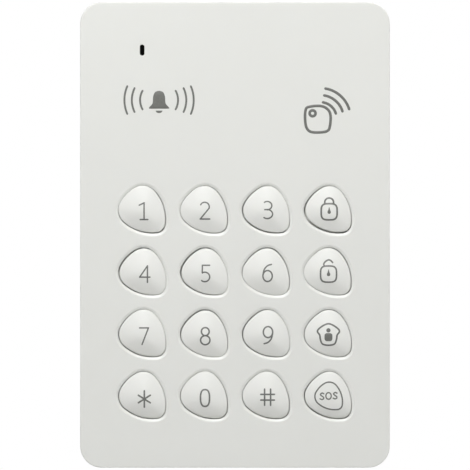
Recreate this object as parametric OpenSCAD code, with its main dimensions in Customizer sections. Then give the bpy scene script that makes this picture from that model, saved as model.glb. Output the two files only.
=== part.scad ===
// Wireless alarm keypad with sixteen pebble keys, hung on a wall bracket.
//
// Every part is drawn on its back: x runs across the panel, y up it and z out from the wall,
// with x = y = 0 at the middle of the panel and z = 0 at the wall. on_wall() then stands the
// part up: +Z is up, the keys face -Y, and the origin is at the wall, midway between the
// bracket's two screw holes.

/* [Case] */
// Width across the front
body_w = 75; // [75:0.5:80]
// Height of the front
body_h = 112.8; // [112.5:0.1:120]
// Distance from the wall to the flat front face
body_d = 18; // [18:0.25:21]
// Corner radius of the outline
corner_r = 5.2; // [5:0.1:6]
// Rounding of the edge around the front face
front_edge_r = 0.5; // [0.3:0.1:1.5]
// Thickness of the side walls
wall = 1.8; // [1.6:0.1:1.9]
// Thickness of the front face
face_t = 1.6; // [1.4:0.1:1.8]
// Step in at the seam between the two shells
seam_step = 0.3; // [0.1:0.05:0.4]

/* [Keys] */
// Distance between key centres, both ways
key_pitch = 15; // [14.6:0.1:15.4]
// How far a key goes in
key_travel = 0.8; // [0.5:0.1:0.9]
// Gap between a key and its aperture
key_gap = 0.3; // [0.2:0.05:0.4]
// Height of a key's crown above the front face
key_crown = 1.3; // [1:0.1:1.6]
// Height of the bottom row of keys above the bottom edge
bottom_row = 17.55; // [17:0.05:18.5]

/* [Wall bracket] */
// Distance between the two wall screws
screw_spacing = 40; // [36:1:40]
// Diameter of the wall screw holes
wall_hole_d = 4.2; // [3.5:0.1:4.5]
// How far the case lifts to come off its hooks
lift_travel = 5; // [4.5:0.1:5.5]

/* [Hidden] */
$fn = 72;
tiny = 0.01;

// Levels out from the wall
bracket_t = 2.2;
back_z = 0.3;
back_t = 1.8;
recess_z = bracket_t + 0.25;
recess_t = 1.6;
seam_z = 6.8;
face_z = body_d;
face_in_z = face_z - face_t;
flange_t = 0.7;
flange_top_z = face_in_z - 0.05;
flange_z = flange_top_z - flange_t;
board_t = 1;
board_front_z = flange_z - 1.75;
board_z = board_front_z - board_t;
mat_t = 0.6;
pad_t = 0.05;
pill_z = board_front_z + pad_t + key_travel + 0.05;
stem_z = flange_z + 0.55;

// Outline of a pebble, along the middle of its gap: three round corners joined by flatter
// arcs. Its own x axis points at the tip, which is turned to the lower right of the panel.
corners = [[4.72, 0], [-1.18, 1.51], [-1.18, -1.51]];
corner_radii = [2.37, 3.86, 3.86];
side_radii = [10.4, 10, 10.4];
tip_turn = -45;
flange_w = 0.9;
key_dome_r = 16;
key_dome_shift = 0.6;
// Hollow under a cap, inset from its side, and the stem that presses the dome
cap_inset = 1.4;
cap_hollow_z = face_in_z + 0.5;
stem_r = 2.3;

// Silicone domes: foot and top radii outside, their wall, and their height
dome_foot_r = 3.9;
dome_top_r = 2.8;
dome_wall = 0.4;
dome_h = 0.8;
mat_margin = 6.8;

// Rows and columns of keys
KEYS = [["1", "2", "3", "arm"], ["4", "5", "6", "disarm"],
        ["7", "8", "9", "home"], ["star", "0", "hash", "sos"]];
last = len(KEYS) - 1;
function key_x(column) = (column - last / 2) * key_pitch;
function key_y(row) = -body_h / 2 + bottom_row + (last - row) * key_pitch;
grid_top = key_y(0);
grid_bottom = key_y(last);

// Status light, over the first column of keys
slot_w = 1.05;
slot_h = 2.7;
slot_y = 44.8;

// Screws that join the shells, and those that hold the board
case_screw_x = body_w / 2 - 6;
case_screw_y = body_h / 2 - 5.95;
case_boss_r = 3;
case_pilot_r = 1.15;
boss_z = back_z + 4.4;
board_screw_x = body_w / 2 - 5.1;
board_screw_ys = [14, -23];
board_boss_r = 2.3;
board_pilot_r = 0.85;

// Bracket, its recess in the rear cover, and its hooks
hang_y = 8;
bracket_w = 56;
bracket_y0 = -18;
bracket_y1 = 35;
recess_w = bracket_w + 1.6;
recess_y0 = bracket_y0 - lift_travel - 0.8;
recess_y1 = bracket_y1 + 0.8;
hook_x = 20;
hook_ys = [20, -10];
hook_w = 8;
hook_stem = 1.8;
hook_reach = 3.6;
hook_lip_z = recess_z + recess_t + 0.15;
hook_t = 1.2;

// Where the parts on the board sit
mcu_at = [-4, 12];
reader_at = [22, 29];
radio_at = [-2, 42];
capacitor_at = [-18, 46];
crystal_at = [12, 22];
buzzer_at = [-20, 29];
coil_y = 29;
antenna_at = [2, 50.5];
label_y = 46.3;

// Tamper plunger, which feels the wall through the bracket
tamper_x = 12;
tamper_y = hang_y;
tamper_r = 1.7;
tamper_flange_r = 3.2;
tamper_travel = 1.5;
tamper_flange_z = recess_z + recess_t + tamper_travel + 0.05;
tamper_switch_z = board_z - 3.5;

// Two AAA cells behind a door that slides out at the bottom
cell_d = 10.5;
cell_l = 44.5;
cell_z = 6.9;
bay_w = 52;
bay_y0 = -50.6;
bay_y1 = -28.2;
bay_wall = 1.6;
bay_top_z = cell_z + cell_d / 2 + 0.05;
bay_floor_t = 0.6;
cell_ys = [-33.8, -45];
plate_t = 0.4;
door_w = 52.9;
door_tongue = 1.3;
door_y1 = -27.15;
door_top_z = cell_z - cell_d / 2 - 0.1;
door_groove_z = back_z + 0.6;
door_gap = 0.1;

// Coiled wire: points in a turn, and sides of the wire
coil_steps = 16;
wire_sides = 8;

FIXED_NODES = ["wall_bracket", "rear_cover", "front_shell", "battery_door", "status_lens",
    "status_led", "circuit_board", "contact_pads", "key_mat", "microcontroller",
    "reader_chip", "radio_module", "radio_antenna", "tag_coil", "buzzer", "capacitor",
    "crystal", "tamper_switch", "tamper_plunger", "tamper_spring", "battery_upper",
    "battery_lower", "battery_springs", "battery_plates", "case_screws", "board_screws",
    "rating_label"];

// ---- placing ----

module on_wall() {
    translate([0, 0, -hang_y])
        rotate([90, 0, 0])
            children();
}

module each_key() {
    for (row = [0:last])
        for (column = [0:last])
            translate([key_x(column), key_y(row)])
                children();
}

module at_case_screws() {
    for (sx = [-1, 1])
        for (sy = [-1, 1])
            translate([sx * case_screw_x, sy * case_screw_y])
                children();
}

module at_board_screws() {
    for (sx = [-1, 1])
        for (y = board_screw_ys)
            translate([sx * board_screw_x, y])
                children();
}

module at_hooks() {
    for (sx = [-1, 1])
        for (y = hook_ys)
            translate([sx * hook_x, y])
                children();
}

// ---- shapes ----

// A block between two levels, centred on x
module block(w, y0, y1, z0, z1) {
    translate([-w / 2, y0, z0])
        cube([w, y1 - y0, z1 - z0]);
}

// A cylinder between two levels
module post(r, z0, z1) {
    translate([0, 0, z0])
        cylinder(r = r, h = z1 - z0);
}

module quarter_disc(r) {
    intersection() {
        circle(r);
        square(r);
    }
}

// A rectangle with round corners
module round_rect(w, h, r) {
    square([w, h - 2 * r], center = true);
    for (side = [0, 180])
        rotate(side)
            translate([0, h / 2 - r / 2])
                square([w - 2 * r, r], center = true);
    for (mx = [0, 1])
        for (my = [0, 1])
            mirror([mx, 0])
                mirror([0, my])
                    translate([w / 2 - r, h / 2 - r])
                        quarter_disc(r);
}

module round_block(w, h, r, z0, z1) {
    translate([0, 0, z0])
        linear_extrude(z1 - z0)
            round_rect(w, h, r);
}

// Half section of a slab whose rim is rounded at z1
module rim_section(reach, edge_r, z0, z1) {
    translate([0, z0])
        square([reach, z1 - z0 - edge_r]);
    translate([0, z1 - edge_r])
        square([reach - edge_r, edge_r]);
    translate([reach - edge_r, z1 - edge_r])
        quarter_disc(edge_r);
}

// A slab with round corners and a round edge at the top, in true arcs
module soft_slab(w, h, r, edge_r, z0, z1) {
    for (mx = [0, 1])
        for (my = [0, 1])
            mirror([mx, 0])
                mirror([0, my])
                    translate([w / 2 - r, h / 2 - r])
                        rotate_extrude(angle = 90)
                            rim_section(r, edge_r, z0, z1);
    for (side = [0, 180])
        rotate(side) {
            translate([w / 2 - r, 0])
                rotate([90, 0, 0])
                    linear_extrude(h - 2 * r, center = true)
                        rim_section(r, edge_r, z0, z1);
            translate([0, h / 2 - r])
                rotate([90, 0, 90])
                    linear_extrude(w - 2 * r, center = true)
                        rim_section(r, edge_r, z0, z1);
        }
    block(w - 2 * r, -h / 2 + r, h / 2 - r, z0, z1);
}

// ---- pebble outline ----

function unit(v) = v / norm(v);
function left_of(v) = [-v.y, v.x];
// Centre of the arc of radius big that two corner circles touch from inside
function side_centre(c1, r1, c2, r2, big) =
    let (d = norm(c2 - c1), e = unit(c2 - c1),
         along = ((big - r1) ^ 2 - (big - r2) ^ 2 + d * d) / (2 * d))
    c1 + e * along + left_of(e) * sqrt((big - r1) ^ 2 - along ^ 2);
side_centres = [for (i = [0:2]) let (j = (i + 1) % 3)
    side_centre(corners[i], corner_radii[i], corners[j], corner_radii[j], side_radii[i])];
// Where a corner meets a side, on the outline moved out by grow
function joint(corner, side, grow) =
    side_centres[side] + unit(corners[corner] - side_centres[side]) * (side_radii[side] + grow);
function joints(grow) =
    [for (i = [0:2]) for (side = [(i + 2) % 3, i]) joint(i, side, grow)];

module pebble(grow = 0) {
    ends = joints(grow);
    // the three ends of the sides, each side carried outwards past its arc
    star = [for (i = [0:2])
        let (from = ends[2 * i + 1], to = ends[(2 * i + 2) % 6],
             out = -left_of(unit(to - from)) * corner_radii[0])
        each [from, from + out, to + out, to]];
    rotate(tip_turn) {
        for (i = [0:2])
            translate(corners[i])
                circle(corner_radii[i] + grow);
        intersection_for (i = [0:2])
            intersection() {
                polygon(star);
                translate(side_centres[i])
                    circle(side_radii[i] + grow);
            }
    }
}

module pebble_block(grow, z0, z1) {
    translate([0, 0, z0])
        linear_extrude(z1 - z0)
            pebble(grow);
}

module slot_block(w, h, z0, z1) {
    translate([0, 0, z0])
        linear_extrude(z1 - z0) {
            square([w, h - w], center = true);
            for (side = [0, 180])
                rotate(side)
                    translate([0, (h - w) / 2])
                        intersection() {
                            circle(d = w);
                            translate([-w / 2, 0])
                                square([w, w / 2]);
                        }
        }
}

// ---- case ----

module front_shell() {
    color("whitesmoke")
        difference() {
            union() {
                difference() {
                    soft_slab(body_w, body_h, corner_r, front_edge_r, seam_z, face_z);
                    round_block(body_w - 2 * wall, body_h - 2 * wall, corner_r - wall,
                        seam_z - 1, face_in_z);
                }
                at_case_screws()
                    post(case_boss_r, boss_z + 0.05, face_in_z + tiny);
                at_board_screws()
                    post(board_boss_r, board_front_z, face_in_z + tiny);
            }
            each_key()
                pebble_block(key_gap / 2, face_in_z - 1, face_z + 1);
            translate([key_x(0), slot_y])
                slot_block(slot_w, slot_h, face_in_z - 1, face_z + 1);
            at_case_screws()
                post(case_pilot_r, boss_z - 1, boss_z + 9);
            at_board_screws()
                post(board_pilot_r, board_front_z - 1, board_front_z + 2.2);
        }
}

module rear_outline(z0, z1) {
    mirror([0, 0, 1])
        soft_slab(body_w - 2 * seam_step, body_h - 2 * seam_step, corner_r - seam_step, 1,
            -z1, -z0);
}

module rear_cover() {
    inner_w = body_w - 2 * wall;
    inner_h = body_h - 2 * wall;
    lip_gap = 0.1;
    lip_t = 1;
    bay_top = bay_top_z + bay_floor_t;
    color("whitesmoke")
        difference() {
            union() {
                difference() {
                    rear_outline(back_z, seam_z);
                    round_block(inner_w, inner_h, corner_r - wall, back_z + back_t, seam_z + 1);
                }
                // lip that locates the front shell
                difference() {
                    round_block(inner_w - 2 * lip_gap, inner_h - 2 * lip_gap,
                        corner_r - wall - lip_gap, seam_z - 1.5, seam_z + 2);
                    round_block(inner_w - 2 * (lip_gap + lip_t), inner_h - 2 * (lip_gap + lip_t),
                        corner_r - wall - lip_gap - lip_t, seam_z - 2, seam_z + 3);
                }
                // bridge between the lip's foot and the wall
                difference() {
                    round_block(inner_w + 0.6, inner_h + 0.6, corner_r - wall + 0.3,
                        seam_z - 1.5, seam_z - 0.5);
                    round_block(inner_w - 2 * (lip_gap + lip_t), inner_h - 2 * (lip_gap + lip_t),
                        corner_r - wall - lip_gap - lip_t, seam_z - 2, seam_z);
                }
                // walls of the recess that takes the bracket
                block(recess_w + 2 * recess_t, recess_y0 - back_t, recess_y1 + recess_t,
                    back_z + 0.5, recess_z + recess_t);
                // battery bay
                block(bay_w + 3 * bay_wall, -inner_h / 2 - tiny, bay_y1 + bay_wall,
                    back_z + 0.5, bay_top);
                at_case_screws()
                    post(case_boss_r + 0.3, back_z + 0.5, boss_z);
                translate([tamper_x, tamper_y])
                    post(4.4, recess_z, recess_z + recess_t + 4);
            }
            block(recess_w, recess_y0, recess_y1, -1, recess_z);
            at_hooks()
                block(hook_w + 0.6, -lift_travel - 0.4, hook_stem + 0.05, 0, recess_z + recess_t + 1);
            block(bay_w, bay_y0, bay_y1, -1, bay_top_z);
            // way for the door, and the grooves that its tongues run in
            block(door_w + 2 * door_gap, -body_h / 2 - 1, door_y1 + door_gap, -1,
                door_top_z + door_gap);
            block(door_w + 2 * (door_tongue + door_gap), -body_h / 2 - 1, door_y1 + door_gap,
                door_groove_z, door_top_z + door_gap);
            translate([tamper_x, tamper_y]) {
                post(tamper_r + 0.1, 0, recess_z + recess_t + 1);
                post(tamper_flange_r + 0.15, recess_z + recess_t, recess_z + recess_t + 5);
            }
            at_case_screws() {
                post(2.6, -1, boss_z - 1.6);
                post(1.4, -1, boss_z + 1);
            }
        }
}

module battery_door() {
    grips = 5;
    color("whitesmoke")
        difference() {
            intersection() {
                union() {
                    block(door_w, -body_h / 2, door_y1, 0, door_top_z);
                    block(door_w + 2 * door_tongue, -body_h / 2, door_y1, door_groove_z + door_gap,
                        door_top_z);
                }
                rear_outline(back_z, seam_z);
            }
            // thumb grip
            for (i = [0:grips - 1])
                block(22 - 2 * i, -51 + 1.8 * i, -50.2 + 1.8 * i, -1, back_z + 0.45);
        }
}

module wall_bracket() {
    plate_mid = (bracket_y0 + bracket_y1) / 2;
    color("gainsboro")
        difference() {
            union() {
                translate([0, plate_mid])
                    round_block(bracket_w, bracket_y1 - bracket_y0, 3, 0, bracket_t);
                at_hooks() {
                    block(hook_w, 0, hook_stem, bracket_t - 0.5, hook_lip_z + hook_t);
                    block(hook_w, 0, hook_stem + hook_reach, hook_lip_z, hook_lip_z + hook_t);
                }
            }
            for (s = [-1, 1])
                translate([0, hang_y + s * screw_spacing / 2]) {
                    post(wall_hole_d / 2, -1, bracket_t + 1);
                    translate([0, 0, 0.9])
                        cylinder(r1 = wall_hole_d / 2, r2 = 4.2, h = bracket_t - 0.9 + tiny);
                }
            translate([tamper_x, tamper_y + lift_travel / 2])
                slot_block(2 * tamper_r + 1.2, 2 * tamper_r + 1.2 + lift_travel, -1, bracket_t + 1);
            // arrow that shows which way is up
            translate([0, 18, -1])
                linear_extrude(1.4)
                    polygon([[-3, -2], [3, -2], [0, 3]]);
        }
}

module case_screws() {
    color("silver")
        at_case_screws()
            difference() {
                union() {
                    post(2.3, boss_z - 3.4, boss_z - 1.6);
                    post(case_pilot_r - 0.05, boss_z - 1.7, boss_z + 8);
                }
                cross_drive(2.4, boss_z - 3.4, 1);
            }
}

module board_screws() {
    color("silver")
        at_board_screws()
            difference() {
                union() {
                    post(1.7, board_z - 1.2, board_z);
                    post(board_pilot_r - 0.05, board_z - 0.1, board_front_z + 2);
                }
                cross_drive(1.8, board_z - 1.2, 0.6);
            }
}

// Recess for a cross-head driver, cut into a head whose top is at level z
module cross_drive(size, z, depth) {
    for (turn = [0, 90])
        rotate(turn)
            block(size, -size / 8, size / 8, z - 1, z + depth);
}

module rating_label() {
    color("silver")
        translate([0, label_y])
            round_block(44, 10, 1, back_z - 0.12, back_z);
}

// ---- keys ----

module key_cap() {
    dome_at = key_dome_shift * [cos(tip_turn), sin(tip_turn)];
    top = face_z + key_crown;
    color("white")
        difference() {
            union() {
                intersection() {
                    pebble_block(-key_gap / 2, flange_z, top + 1);
                    translate([dome_at.x, dome_at.y, top - key_dome_r])
                        sphere(key_dome_r);
                }
                pebble_block(flange_w, flange_z, flange_top_z);
            }
            difference() {
                pebble_block(-cap_inset, flange_z - 1, cap_hollow_z);
                post(stem_r, stem_z, face_z);
            }
        }
}

// Moving middle of a silicone dome, with the carbon pill on its end
module plunger() {
    pill_r = 1.8;
    pill_t = 0.3;
    color("dimgray") {
        post(stem_r, pill_z + pill_t, stem_z);
        post(pill_r, pill_z, pill_z + pill_t + tiny);
    }
}

module key_mat() {
    dome_z = board_front_z + mat_t;
    mat_w = last * key_pitch + 2 * mat_margin;
    color("lightgray")
        difference() {
            union() {
                translate([0, (grid_top + grid_bottom) / 2])
                    round_block(mat_w, mat_w, 3, board_front_z, dome_z);
                each_key()
                    translate([0, 0, dome_z])
                        cylinder(r1 = dome_foot_r, r2 = dome_top_r, h = dome_h);
            }
            each_key() {
                post(dome_foot_r - dome_wall, board_front_z - 1, dome_z);
                translate([0, 0, dome_z - tiny])
                    cylinder(r1 = dome_foot_r - dome_wall, r2 = dome_top_r - dome_wall,
                        h = dome_h + 2 * tiny);
            }
        }
}

// Two half discs of bare contact under each dome
module contact_pads() {
    pad_r = 2.8;
    split = 0.4;
    color("goldenrod")
        each_key()
            difference() {
                post(pad_r, board_front_z, board_front_z + pad_t);
                block(split, -pad_r - 1, pad_r + 1, board_front_z - 1, board_front_z + 1);
            }
}

// ---- board and its parts ----

module circuit_board() {
    board_h = body_h - 2 * wall - 1.6;
    boss_room = 3.4;
    color("darkgreen")
        difference() {
            block(body_w - 2 * wall - 1.2, -board_h / 2, board_h / 2, board_z, board_front_z);
            // notches around the bosses of the case screws
            for (mx = [0, 1])
                for (my = [0, 1])
                    mirror([mx, 0])
                        mirror([0, my])
                            translate([case_screw_x, case_screw_y]) {
                                post(boss_room, board_z - 1, board_front_z + 1);
                                translate([-boss_room, 0, board_z - 1])
                                    cube([10, 10, board_t + 2]);
                                translate([0, -boss_room, board_z - 1])
                                    cube([10, 10, board_t + 2]);
                            }
            at_board_screws()
                post(1, board_z - 1, board_front_z + 1);
        }
}

// A moulded chip on the back of the board, with legs along its long sides
module chip(w, h, t, legs, leg_pitch) {
    block(w, -h / 2, h / 2, board_z - t, board_z - 0.1);
    for (side = [0, 180])
        rotate(side)
            chip_legs(h / 2, legs, leg_pitch);
}

module chip_legs(reach, legs, leg_pitch) {
    for (i = [0:legs - 1])
        translate([(i - (legs - 1) / 2) * leg_pitch, 0])
            block(leg_pitch * 0.4, reach - 0.1, reach + 1, board_z - 0.25, board_z);
}

module microcontroller() {
    size = 10;
    legs = 9;
    color("dimgray")
        translate(mcu_at) {
            chip(size, size, 1.6, legs, 1);
            for (side = [90, 270])
                rotate(side)
                    chip_legs(size / 2, legs, 1);
        }
}

module reader_chip() {
    color("dimgray")
        translate(reader_at)
            chip(8.7, 4, 1.7, 7, 1.27);
}

module radio_module() {
    color("seagreen")
        translate(radio_at) {
            block(18, -5.5, 5.5, board_z - 1.2, board_z - 0.2);
            block(10, -4, 3, board_z - 3, board_z - 1.1);
            for (i = [-3:3])
                translate([2 * i, 0])
                    block(1, -5, -4.4, board_z - 1.1, board_z);
        }
}

module capacitor() {
    color("lightsteelblue")
        translate(capacitor_at) {
            block(6.6, -3.3, 3.3, board_z - 1, board_z);
            post(3.15, board_z - 5.4, board_z - 0.9);
        }
}

module crystal() {
    color("silver")
        translate(crystal_at)
            slot_block(4.6, 11, board_z - 3.6, board_z);
}

module buzzer() {
    color("dimgray")
        translate(buzzer_at)
            difference() {
                post(6, board_z - 6.2, board_z);
                post(1, board_z - 7, board_z - 5);
            }
}

module status_led() {
    color("honeydew")
        translate([key_x(0), slot_y])
            block(1.6, -1.6, 1.6, board_front_z, board_front_z + 1.1);
}

// Smoked light pipe that fills the slot
module status_lens() {
    gap = 0.05;
    color("black")
        translate([key_x(0), slot_y]) {
            slot_block(slot_w - 2 * gap, slot_h - 2 * gap, face_in_z - 0.5, face_z - 0.15);
            round_block(3, 4.6, 0.6, board_front_z + 1.2, face_in_z - 0.02);
        }
}

// Flat coil that reads tags held to the upper right of the front
module tag_coil() {
    coil_r = 12;
    winding = 2.5;
    coil_t = 1.2;
    color("chocolate")
        translate([key_x(last), coil_y])
            difference() {
                post(coil_r, board_front_z, board_front_z + coil_t);
                post(coil_r - winding, board_front_z - 1, board_front_z + coil_t + 1);
            }
}

module tamper_switch() {
    color("dimgray")
        translate([tamper_x, tamper_y]) {
            block(6.2, -3.1, 3.1, tamper_switch_z, board_z);
            post(1.2, tamper_switch_z - 0.8, tamper_switch_z + tiny);
        }
}

module tamper_plunger() {
    color("white")
        translate([tamper_x, tamper_y]) {
            post(tamper_r, 0.1, tamper_switch_z - 0.85);
            post(tamper_flange_r, tamper_flange_z, tamper_flange_z + 0.8);
        }
}

// ---- coiled wire ----

// Points along a coil wound about z, from radius r0 at z = 0 to r1 at z = length
function helix(r0, r1, length, turns) =
    let (steps = ceil(turns * coil_steps))
    [for (i = [0:steps])
        let (share = i / steps, turn = 360 * turns * share, r = r0 + (r1 - r0) * share)
        [r * cos(turn), r * sin(turn), length * share]];

// A round wire through a list of points, none of them straight above the one before
module wire_along(path, wire) {
    n = wire_sides;
    end = len(path) - 1;
    rings = [for (i = [0:end])
        let (along = unit(path[min(i + 1, end)] - path[max(i - 1, 0)]),
             side = unit(cross(along, [0, 0, 1])),
             up = cross(along, side))
        [for (k = [0:n - 1])
            path[i] + wire * (side * cos(360 * k / n) + up * sin(360 * k / n))]];
    polyhedron(
        points = [for (ring = rings) each ring],
        faces = concat(
            [[for (k = [0:n - 1]) k]],
            [for (i = [0:end - 1]) for (k = [0:n - 1])
                let (a = i * n + k, b = i * n + (k + 1) % n)
                each [[a, a + n, b + n], [a, b + n, b]]],
            [[for (k = [n - 1:-1:0]) end * n + k]]));
}

module radio_antenna() {
    length = 22;
    r = 2.3;
    leg = 3.2;
    color("goldenrod")
        translate([antenna_at.x, antenna_at.y, board_z - leg])
            rotate([0, -90, 180])
                wire_along(concat([[leg, 0, 0]], helix(r, r, length, 7), [[leg, 0, length]]), 0.3);
}

module tamper_spring() {
    low = tamper_flange_z + 0.8;
    wire = 0.2;
    color("silver")
        translate([tamper_x, tamper_y, low + wire + 0.05])
            wire_along(helix(2.4, 2.4, tamper_switch_z - low - 2 * wire - 0.1, 3.5), wire);
}

// ---- power ----

// A cell along x, its button end at +x
module cell() {
    button = 1;
    rotate([0, 90, 0])
        translate([0, 0, -cell_l / 2]) {
            post(cell_d / 2, 0, cell_l - button);
            post(1.9, cell_l - button - tiny, cell_l);
        }
}

// Room behind each cell, which its spring takes up
spring_room = bay_w - 2 * plate_t - cell_l;

module battery_upper() {
    color("slategray")
        translate([spring_room / 2, cell_ys[0], cell_z])
            cell();
}

module battery_lower() {
    color("slategray")
        translate([-spring_room / 2, cell_ys[1], cell_z])
            rotate(180)
                cell();
}

module battery_springs() {
    wire = 0.25;
    color("silver")
        for (i = [0, 1])
            translate([0, cell_ys[i], cell_z])
                rotate(180 * i)
                    translate([-bay_w / 2 + plate_t + wire + 0.02, 0, 0])
                        rotate([0, 90, 0])
                            wire_along(helix(3.4, 2.2, spring_room - 2 * wire - 0.04, 4), wire);
}

module battery_plates() {
    color("silver")
        for (s = [-1, 1])
            for (y = cell_ys)
                translate([s * (bay_w / 2 - plate_t / 2), y, 0])
                    block(plate_t, -4.2, 4.2, cell_z - 4.2, bay_top_z - 0.05);
}

// ---- parts, one node at a time ----

on_wall() wall_bracket();
on_wall() rear_cover();
on_wall() front_shell();
on_wall() battery_door();
on_wall() status_lens();
on_wall() status_led();
on_wall() circuit_board();
on_wall() contact_pads();
on_wall() key_mat();
on_wall() microcontroller();
on_wall() reader_chip();
on_wall() radio_module();
on_wall() radio_antenna();
on_wall() tag_coil();
on_wall() buzzer();
on_wall() capacitor();
on_wall() crystal();
on_wall() tamper_switch();
on_wall() tamper_plunger();
on_wall() tamper_spring();
on_wall() battery_upper();
on_wall() battery_lower();
on_wall() battery_springs();
on_wall() battery_plates();
on_wall() case_screws();
on_wall() board_screws();
on_wall() rating_label();
for (row = [0:last]) for (column = [0:last]) {
    spot = [key_x(column), key_y(row), 0];
    name = KEYS[row][column];
    on_wall() translate(spot) key_cap();
    on_wall() translate(spot) plunger();
}
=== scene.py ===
"""The looks of a wall-hung alarm keypad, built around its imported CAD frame.

Shapes are drawn on the panel's own front: x runs across it and y up it from its middle, and
z is the height out from the wall, all in millimetres. place() turns that into the row frame.
"""
import bisect
import math

import bmesh
import bpy
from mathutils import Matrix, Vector
from mathutils.geometry import delaunay_2d_cdt


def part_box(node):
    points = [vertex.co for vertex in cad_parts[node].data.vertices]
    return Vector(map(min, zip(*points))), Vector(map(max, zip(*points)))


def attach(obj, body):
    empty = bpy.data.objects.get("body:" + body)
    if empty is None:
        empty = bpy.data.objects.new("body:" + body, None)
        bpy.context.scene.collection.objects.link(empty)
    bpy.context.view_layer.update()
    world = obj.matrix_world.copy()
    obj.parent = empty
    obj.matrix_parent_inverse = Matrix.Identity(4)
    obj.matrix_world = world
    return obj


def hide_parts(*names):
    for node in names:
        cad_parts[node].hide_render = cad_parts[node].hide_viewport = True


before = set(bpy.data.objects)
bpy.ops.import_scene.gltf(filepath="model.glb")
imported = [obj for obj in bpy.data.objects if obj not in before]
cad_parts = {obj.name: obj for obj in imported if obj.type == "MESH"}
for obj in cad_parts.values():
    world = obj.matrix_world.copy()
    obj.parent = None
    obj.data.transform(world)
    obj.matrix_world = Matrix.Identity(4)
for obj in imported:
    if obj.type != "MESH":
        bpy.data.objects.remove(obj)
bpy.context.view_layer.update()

MM = 0.001

# ---- sizes, read from the frame where it has them ----

shell_low, shell_high = (Vector(corner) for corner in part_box("front_shell"))
MID = (shell_low.z + shell_high.z) / 2
WIDTH = (shell_high.x - shell_low.x) / MM
HEIGHT = (shell_high.z - shell_low.z) / MM
FACE = -shell_low.y / MM
SEAM = -shell_high.y / MM

# Front shell: its corners, the rounding of its front edge, its walls, the back of its face, the
# break inside it and the one along the seam
CORNER_R = 5.2
EDGE_R = 0.28
WALL = 1.8
FACE_IN = FACE - 1.6
INNER_BREAK = 0.3
SEAM_BREAK = 0.2

# Apertures: how much larger than a pebble they are all round, and their lip's width, depth and
# fullness
APERTURE_GROW = 0.06
APERTURE_LIP = 0.7
APERTURE_DEEP = 0.33
APERTURE_FULL = 0.57

KEYS = [["1", "2", "3", "arm"], ["4", "5", "6", "disarm"],
        ["7", "8", "9", "home"], ["star", "0", "hash", "sos"]]
# Key caps: how much smaller than a pebble they are all round, and their rounded edge
CAP_SHRINK = 0.08
CAP_EDGE_R = 0.15
CAP_EDGE_STEPS = 6
CAP_RINGS = 16
# Their crown: where its summit is and how round it is there, its slope and how far out that
# runs, how it leans down, and from where and how much it sags below, for each row
SUMMIT = (0.3, -0.6)
SUMMIT_R = 2.5
SLOPE = 0.38
CAP_REACH = 6.0
LEAN = 0.045
SAG_FROM = -1.5
SAG = [0.003, 0.01, 0.017, 0.028]
# Their heights from the wall, and the size of the flange, wall and stem
CROWN = -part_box("key_1")[0][1] / MM
FLANGE_LOW = -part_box("key_1")[1][1] / MM
FLANGE_TOP = FLANGE_LOW + 0.7
FLANGE_W = 0.9
CAP_WALL = 1.4
STEM_R = 2.3
STEM_END = FLANGE_LOW + 0.55
HOLLOW_TOP = FACE_IN + 0.5

# Screws: the radius of their heads, their bosses and the holes in those, and how far they
# reach in. SINK is how far a boss runs into the back of the face.
CASE_HEAD_R = 2.3
CASE_BOSS_R = 3
CASE_PILOT_R = 1.15
CASE_GRIP = 7.95
BOARD_HEAD_R = 1.7
BOARD_BOSS_R = 2.3
BOARD_PILOT_R = 0.85
BOARD_GRIP = 2
SINK = 0.01

# Status slot
SLOT_W = 1.1
SLOT_H = 2.7
SLOT_R = 0.54
SLOT_LIP = 0.12

# Printed ink: its thickness, how far it reaches into the plastic, how much each further stroke
# of a legend lies over the last one, and half the width of a stroke
INK_T = 0.012
INK_SINK = 0.06
INK_STEP = 0.0015
STROKE = 0.193


def place(x, y, z):
    """A point on the panel, in the row frame."""
    return Vector((x * MM, -z * MM, MID + y * MM))


def centre_of(node):
    """The middle of a CAD node, in panel x, y and z."""
    low, high = (Vector(corner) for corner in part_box(node))
    middle = (low + high) / 2
    return middle.x / MM, (middle.z - MID) / MM, -middle.y / MM


# ---- outlines: each takes how far to grow and gives the same number of points ----

# A pebble lying on its side: its corner circles, its side arcs and the turn that brings its tip
# to the lower right
CORNERS = [(4.72, 0.0), (-1.18, 1.51), (-1.18, -1.51)]
CORNER_RADII = [2.37, 3.86, 3.86]
SIDE_RADII = [10.4, 10.0, 10.4]
TIP_TURN = math.radians(-45)


def side_centre(i):
    """Centre of the side arc that corner circles i and i + 1 touch from inside."""
    j = (i + 1) % 3
    start, end = Vector(CORNERS[i]), Vector(CORNERS[j])
    span = (end - start).length
    ahead = (end - start) / span
    near, far = SIDE_RADII[i] - CORNER_RADII[i], SIDE_RADII[i] - CORNER_RADII[j]
    along = (near ** 2 - far ** 2 + span ** 2) / (2 * span)
    across = math.sqrt(near ** 2 - along ** 2)
    return start + ahead * along + Vector((-ahead.y, ahead.x)) * across


def arc_points(centre, radius, start, end, steps):
    """Points on an arc from angle start to end, without the last one."""
    return [(centre[0] + radius * math.cos(start + (end - start) * i / steps),
             centre[1] + radius * math.sin(start + (end - start) * i / steps))
            for i in range(steps)]


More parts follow.
